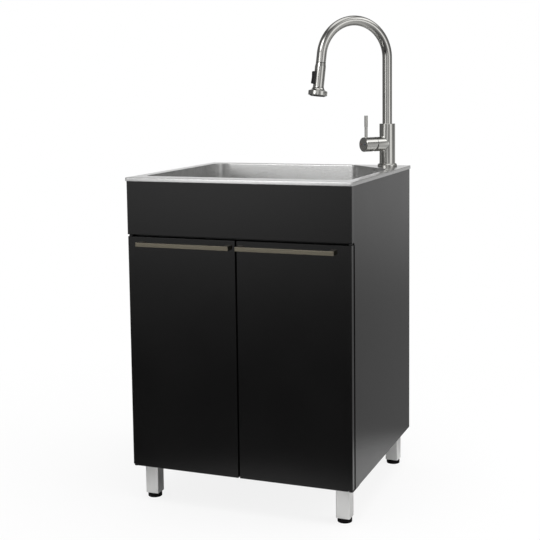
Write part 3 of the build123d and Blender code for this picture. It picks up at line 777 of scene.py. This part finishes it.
# Tap column: a turned body with a level barrel for the valve, standing in a bevelled flange and
# clamped under the deck by a threaded zinc shank and a nut. What shows is nickel, turned fine.
hub_low, hub_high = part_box("handle_hub")
barrel_way = (((hub_low + hub_high) / 2).to_2d() - tap_axis).normalized()
body_radius = 0.022
body_margin = 0.0001
turning_lines = 2600.0
nickel_dark = (0.5, 0.495, 0.47, 1)
nickel_light = (0.6, 0.595, 0.57, 1)


def turned_nickel(name, across):
    """Brushed nickel with lines round the piece: across gives a length that runs over the lines."""
    material, shader, places = new_finish(name, Metallic=1.0)
    length = across(places)
    noise = {"W": length * turning_lines, "Detail": 2.0}
    lines = length.node("ShaderNodeTexNoise", {"noise_dimensions": "1D"}, noise)
    cloud = grain(places, scale=30.0, detail=3.0)
    mixed = lines * 0.5 + cloud * 0.5
    tint(mixed, nickel_dark, nickel_light).feed(shader.inputs["Base Color"])
    (0.12 + lines * 0.05 + cloud * 0.03).feed(shader.inputs["Roughness"])
    relief(shader, lines, strength=0.012, depth=0.00002)
    return material


def height_of(places):
    """The height over the floor."""
    return places.node("ShaderNodeSeparateXYZ", None, {"Vector": places}, output="Z")


def share_along(places, way):
    """How far places lie along a direction."""
    settings = {"operation": "DOT_PRODUCT"}
    return places.node("ShaderNodeVectorMath", settings, {0: places, 1: way}, output="Value")


def reach_of(places):
    """The distance along the barrel."""
    return share_along(places, (*barrel_way, 0))


column_nickel = turned_nickel("column_nickel", height_of)
barrel_nickel = turned_nickel("barrel_nickel", reach_of)
flange_ease = 0.0004
worked_piece("tap_flange", [column_nickel], flange_ease)
body_shape = merged_shape("tap_body")
for face in body_shape.faces:
    middle = face.calc_center_median().to_2d() - tap_axis
    face.material_index = int(middle.length > body_radius + body_margin)
body_finishes = [column_nickel, barrel_nickel]
tap_body = place_piece(body_shape, "tap_body_piece", "cabinet", body_finishes)
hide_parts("tap_body")
paint(zinc_plate, "tap_nut")
shank_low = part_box("tap_shank")[0]
shank_radius = 0.014
shank_pitch = 0.002
shank_shape = merged_shape("tap_shank")
shank_heights = (shank_low.z, rim_top - sheet)
threaded_stem(
    shank_shape,
    "shank_thread",
    "cabinet",
    "zinc_steel",
    zinc_plate,
    tap_axis,
    shank_radius,
    shank_heights,
    shank_pitch,
)
worked_piece("tap_shank", [zinc_plate], shape=shank_shape)
paint(bush_nylon, "valve_cartridge", "valve_rotor", "spout_bushing")


# Tap handle: a turned nickel hub that tilts on the valve, with an upright lever pressed into it.
# Two small enamel dots on the hub's end mark hot and cold.
handle_ease = 0.0003
worked_piece("handle_hub", [barrel_nickel], handle_ease)
worked_piece("handle_lever", [column_nickel], handle_ease)
dot_radius = 0.0016
dot_flatness = 0.22
dot_spread = 0.009
hub_axis_height = (hub_low.z + hub_high.z) / 2
hub_shape = merged_shape("handle_hub")
hub_reaches = [(point.co.to_2d() - tap_axis).dot(barrel_way) for point in hub_shape.verts]
hub_shape.free()
hub_end = Vector((*(tap_axis + barrel_way * max(hub_reaches)), hub_axis_height))
hub_across = Vector((-barrel_way.y, barrel_way.x, 0))
facing_out = Vector((*barrel_way, 0)).to_track_quat("Z", "Y").to_matrix().to_4x4()
enamel_shade = 0.7
enamels = {"cold": (1, (0.012, 0.03, 0.15)), "hot": (-1, (0.18, 0.035, 0.025))}
for mark, (side, enamel) in enamels.items():
    dot = bmesh.new()
    spot_place = Matrix.Translation(hub_end + hub_across * side * dot_spread)
    lens = spot_place @ facing_out @ Matrix.Diagonal((1, 1, dot_flatness, 1))
    bmesh.ops.create_uvsphere(dot, u_segments=24, v_segments=12, radius=dot_radius, matrix=lens)
    darker = [level * enamel_shade for level in enamel]
    dot_enamel = moulded_finish(mark + "_enamel", darker, enamel, rough=0.2, shine=0.1)
    place_piece(dot, mark + "_dot", "tap_handle", [dot_enamel])


# Spout: a bent tube of brushed nickel that turns in the column, with its lines round the tube.
# A dark moulded sleeve in its end holds the spray head.
nozzle_low, nozzle_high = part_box("nozzle_ring")
spout_way = (((nozzle_low + nozzle_high) / 2).to_2d() - tap_axis).normalized()
spout_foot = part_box("spout")[0].z
spout_radius = 0.0135
spout_wall = 0.0016
arch_radius = 0.1025
arch_sweep = radians(173)
spout_tail = 0.0235
arch_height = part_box("spout")[1].z - arch_radius - spout_radius
spout_line = [Vector((0, spout_foot))]
arch_steps = 72
for step in range(arch_steps + 1):
    turn = arch_sweep * step / arch_steps
    arch_out = arch_radius * (1 - cos(turn))
    spout_line.append(Vector((arch_out, arch_height + arch_radius * sin(turn))))
spout_end_way = Vector((sin(arch_sweep), cos(arch_sweep)))
spout_line.append(spout_line[-1] + spout_end_way * spout_tail)
route = bpy.data.curves.new("spout_route", "CURVE")
route.dimensions = "3D"
spline = route.splines.new("POLY")
spline.points.add(len(spout_line) - 1)
for point, (out, height) in zip(spline.points, spout_line):
    point.co = (*(tap_axis + spout_way * out), height, 1)
tube_sides = 64


def tube_nodes():
    """Nodes that sweep a round tube along a curve and keep the length along it as an attribute."""
    tree, given = new_tree("swept_tube", Route="Geometry", Radius="Float", Finish="Material")
    along = given["Route"].node("GeometryNodeSplineParameter", output="Length")
    settings = {"data_type": "FLOAT", "domain": "POINT"}
    sockets = {"Geometry": given["Route"], "Name": "along", "Value": along}
    route_with_length = along.node("GeometryNodeStoreNamedAttribute", settings, sockets)
    circle = {"Resolution": tube_sides, "Radius": given["Radius"]}
    profile = along.node("GeometryNodeCurvePrimitiveCircle", None, circle)
    sweep = {"Curve": route_with_length, "Profile Curve": profile}
    tube = along.node("GeometryNodeCurveToMesh", None, sweep)
    end_tree(tube, given["Finish"])
    return tree


def length_of(places):
    """The length along the spout, kept by its sweep."""
    return places.node("ShaderNodeAttribute", {"attribute_name": "along"}, output="Fac")


spout_nickel = turned_nickel("spout_nickel", length_of)
spout_sizes = {"Radius": spout_radius, "Finish": spout_nickel}
spout = made_by_nodes(tube_nodes(), "spout_piece", "spout", "tap_metal", route, **spout_sizes)
spout_shape = bmesh.new()
spout_shape.from_mesh(spout.data)
for edge in spout_shape.edges:
    edge.smooth = not edge.is_boundary
spout_shape.to_mesh(spout.data)
spout_shape.free()
tube_wall = spout.modifiers.new("wall", "SOLIDIFY")
tube_wall.thickness = spout_wall
tube_wall.offset = -1.0
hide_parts("spout")
dock_ease = 0.0002
worked_piece("spray_dock", [black_plastic], dock_ease)


# Spray head: a slim nickel grip that flares to a round nozzle, with a dark rubber face full of
# small nubs and a black moulded rocker on its outer side.
face_ease = 0.0003
button_ease = 0.0006
worked_piece("spray_head", [column_nickel])
worked_piece("nozzle_ring", [column_nickel])
worked_piece("spray_face", [stop_rubber], face_ease)
nub_taper = 0.6
nub_sides = 10


def nub_nodes():
    """Nodes that set tapered nubs on rings round an axis, six more on each ring outwards."""
    numbers = dict.fromkeys(("Gap", "Radius", "Height"), "Float")
    tree, given = new_tree("ringed_nubs", Nubs="Int", **numbers, Finish="Material")
    index = Shade(tree).node("GeometryNodeInputIndex")
    # Ring n starts at nub 3n(n - 1) + 1 and holds 6n nubs
    ring = index.maths("CEIL", ((index * 12 + 9) ** 0.5 - 3) * (1 / 6))
    first = ring * (ring - 1) * 3 + 1
    turn = (index - first) * (2 * pi) * (index.maths("MAXIMUM", ring * 6, 1) ** -1)
    out = ring * given["Gap"]
    spots = {"X": out * turn.maths("COSINE", turn), "Y": out * turn.maths("SINE", turn)}
    place = turn.node("ShaderNodeCombineXYZ", None, spots)
    points = place.node("GeometryNodePoints", None, {"Count": given["Nubs"], "Position": place})
    cone = {
        "Vertices": nub_sides,
        "Radius Bottom": given["Radius"],
        "Radius Top": given["Radius"] * nub_taper,
        "Depth": given["Height"],
    }
    nub = points.node("GeometryNodeMeshCone", None, cone)
    nubs = points.node("GeometryNodeInstanceOnPoints", None, {"Points": points, "Instance": nub})
    end_tree(nubs, given["Finish"])
    return tree


spray_out = Vector((*(spout_way * spout_end_way.x), spout_end_way.y))
face_shape = merged_shape("spray_face")
face_reach = max(point.co.dot(spray_out) for point in face_shape.verts)
face_start = face_reach - face_margin
face_edge = [point.co for point in face_shape.verts if point.co.dot(spray_out) > face_start]
face_centre = sum(face_edge, Vector()) / len(face_edge)
face_shape.free()
face_turn = spray_out.to_track_quat("Z", "Y").to_matrix().to_4x4()
face_place = Matrix.Translation(face_centre) @ face_turn
nub_sizes = {"Nubs": 91, "Gap": 0.0036, "Radius": 0.0009, "Height": 0.0012}
made_by_nodes(
    nub_nodes(),
    "spray_nubs",
    "spray_head",
    "rubber",
    place=face_place,
    Finish=stop_rubber,
    **nub_sizes,
)
worked_piece("spray_button", [black_plastic], button_ease)


# Studio: a pale floor that keeps a soft shadow, a white surround, and light from above and right.
# Panels of light that only shiny surfaces mirror draw the streaks on steel, nickel and foil.
floor_mesh = bpy.data.meshes.new("floor")
floor_reach = 30.0
floor_shape = bmesh.new()
bmesh.ops.create_grid(floor_shape, x_segments=1, y_segments=1, size=floor_reach)
floor_shape.to_mesh(floor_mesh)
floor_shape.free()
floor = bpy.data.objects.new("floor", floor_mesh)
bpy.context.scene.collection.objects.link(floor)
floor_paint = bpy.data.materials.new("pale_floor")
floor_paint.use_nodes = True
floor_tree = floor_paint.node_tree
floor_tree.nodes.clear()
floor_shade = Shade(floor_tree)
paper = floor_shade.node("ShaderNodeBsdfDiffuse", None, {"Color": (0.86, 0.86, 0.86, 1)})
glow = floor_shade.node("ShaderNodeEmission", None, {"Color": (1, 1, 1, 1), "Strength": 1.0})
camera_ray = floor_shade.node("ShaderNodeLightPath", output="Is Camera Ray")
glossy_ray = floor_shade.node("ShaderNodeLightPath", output="Is Glossy Ray")
spot = floor_shade.node("ShaderNodeTexCoord", output="Object")
away = spot.node("ShaderNodeVectorMath", {"operation": "LENGTH"}, {0: spot}, output="Value")
whitening = {"Value": away, "From Min": 0.5, "From Max": 1.6, "To Min": 0.86}
whiter = away.node("ShaderNodeMapRange", None, whitening)
opening = {"Value": away, "From Min": 0.42, "From Max": 0.68}
open_floor = away.node("ShaderNodeMapRange", None, opening)
clear = floor_shade.node("ShaderNodeBsdfTransparent")
glowing = {"Fac": camera_ray * whiter, 1: paper, 2: glow}
lit = floor_shade.node("ShaderNodeMixShader", None, glowing)
mirrored = {"Fac": glossy_ray * open_floor, 1: lit, 2: clear}
lit = floor_shade.node("ShaderNodeMixShader", None, mirrored)
lit.node("ShaderNodeOutputMaterial", None, {"Surface": lit})
floor_mesh.materials.append(floor_paint)

world = bpy.data.worlds.new("studio")
bpy.context.scene.world = world
world.use_nodes = True
world_tree = world.node_tree
world_tree.nodes.clear()
sky = Shade(world_tree)
sky_way = sky.node("ShaderNodeTexCoord", output="Generated")
level_ways = {0: sky_way, 1: (1, 1, 0)}
flat_way = sky_way.node("ShaderNodeVectorMath", {"operation": "MULTIPLY"}, level_ways)
bearing = flat_way.node("ShaderNodeVectorMath", {"operation": "NORMALIZE"}, {0: flat_way})
sky_height = height_of(sky_way)


def panel_of_light(degrees, sharpness, level):
    """A soft upright band of light in one bearing, measured from the right towards the back."""
    aim = (cos(radians(degrees)), sin(radians(degrees)), 0)
    facing = share_along(bearing, aim)
    return facing.maths("MAXIMUM", facing, 0.0) ** sharpness * level


def above(limit, spread):
    """Zero below a height of the sky and one above it."""
    sockets = {"Value": sky_height, "From Min": limit - spread, "From Max": limit + spread}
    return sky_height.node("ShaderNodeMapRange", {"interpolation_type": "SMOOTHSTEP"}, sockets)


low_panels = panel_of_light(-72, 56, level=0.75) + panel_of_light(-19, 30, level=1.2)
left_panel = panel_of_light(-114, 50, level=1.3)
right_fill = panel_of_light(-45, 10, level=0.2) + panel_of_light(20, 8, level=0.12)
left_fill = panel_of_light(-165, 10, level=0.09)
upright = left_panel + low_panels * (1 - above(0.33, 0.05)) + right_fill + left_fill
upright = upright * above(-0.138, 0.045) * (1 - above(0.7, 0.2))
lower_box = (above(0.13, 0.04) - above(0.19, 0.03)) * 0.75
upper_box = above(0.32, 0.04) - above(0.6, 0.1)
front_boxes = panel_of_light(-107, 30, level=4.5) * (lower_box + upper_box)
side_box = panel_of_light(13, 4, level=1.8) * above(0.52, 0.1) * (1 - above(0.8, 0.1))
low_glow = panel_of_light(5, 3, level=0.5) + panel_of_light(148, 8, level=0.14)
low_glow = low_glow * (1 - above(-0.1, 0.08))
low_screen = panel_of_light(69, 24, level=0.46) * (1 - above(0.03, 0.05))
low_part = 0.29 + above(-0.14, 0.06) * 0.71
backdrop = panel_of_light(111, 12, level=0.9) + low_screen
backdrop = backdrop * low_part * (1 - above(0.42, 0.25))
ceiling = above(0.9, 0.07) * 1.2
front_gap = above(-0.3, 0.03) - above(-0.13, 0.04)
dark_front = panel_of_light(-111, 6, level=0.085) * front_gap
room_level = 0.1
lights = upright + front_boxes + side_box + low_glow + backdrop + ceiling
studio_level = room_level + lights - dark_front
ambient = sky.node("ShaderNodeBackground", None, {"Color": (1, 1, 1, 1), "Strength": 0.6})
white = sky.node("ShaderNodeBackground", None, {"Color": (1, 1, 1, 1), "Strength": 1.0})
studio = sky.node("ShaderNodeBackground", None, {"Color": (1, 1, 1, 1), "Strength": studio_level})
glossy = sky.node("ShaderNodeLightPath", output="Is Glossy Ray")
seen = sky.node("ShaderNodeLightPath", output="Is Camera Ray")
soft = sky.node("ShaderNodeMixShader", None, {"Fac": glossy, 1: ambient, 2: studio})
whole = sky.node("ShaderNodeMixShader", None, {"Fac": seen, 1: soft, 2: white})
whole.node("ShaderNodeOutputWorld", None, {"Surface": whole})


def soft_light(name, place, aim, size, power):
    """A square soft box that points at a place and lights only matt surfaces."""
    lamp = bpy.data.lights.new(name, "AREA")
    lamp.size = size
    lamp.energy = power
    holder = bpy.data.objects.new(name, lamp)
    bpy.context.scene.collection.objects.link(holder)
    holder.location = place
    holder.rotation_euler = (Vector(aim) - Vector(place)).to_track_quat("-Z", "Y").to_euler()
    holder.visible_glossy = False


lit_middle = (0, 0, 0.6)
soft_light("top_light", place=(0.2, -0.3, 3.2), aim=lit_middle, size=2.4, power=60)
soft_light("right_light", place=(3.2, 0.6, 1.8), aim=lit_middle, size=2.0, power=50)


# Camera: at the photograph's angle, a little above the rim and to the right.
# Its focal length, turn and place were solved from the corners of the panels and the rim.
camera = bpy.data.cameras.new("camera")
viewer = bpy.data.objects.new("camera", camera)
bpy.context.scene.collection.objects.link(viewer)
image_size = 540
focal_pixels = 1117.2
optical_row = 200.0
yaw = 0.3730
pitch = 0.1045
roll = -0.0121
camera_place = (1.08203, -2.78931, 1.09196)
ahead = Vector((-sin(yaw) * cos(pitch), cos(yaw) * cos(pitch), -sin(pitch)))
rightward = ahead.cross(Vector((0, 0, 1))).normalized()
upward_way = rightward.cross(ahead)
camera.lens = focal_pixels * camera.sensor_width / image_size
camera.shift_y = (optical_row - image_size / 2) / image_size
tilted_right = rightward * cos(roll) + upward_way * sin(roll)
tilted_up = upward_way * cos(roll) - rightward * sin(roll)
turned_frame = Matrix((tilted_right, tilted_up, -ahead)).transposed().to_4x4()
viewer.matrix_world = Matrix.Translation(camera_place) @ turned_frame
bpy.context.scene.camera = viewer
bpy.context.scene.view_settings.view_transform = "Standard"
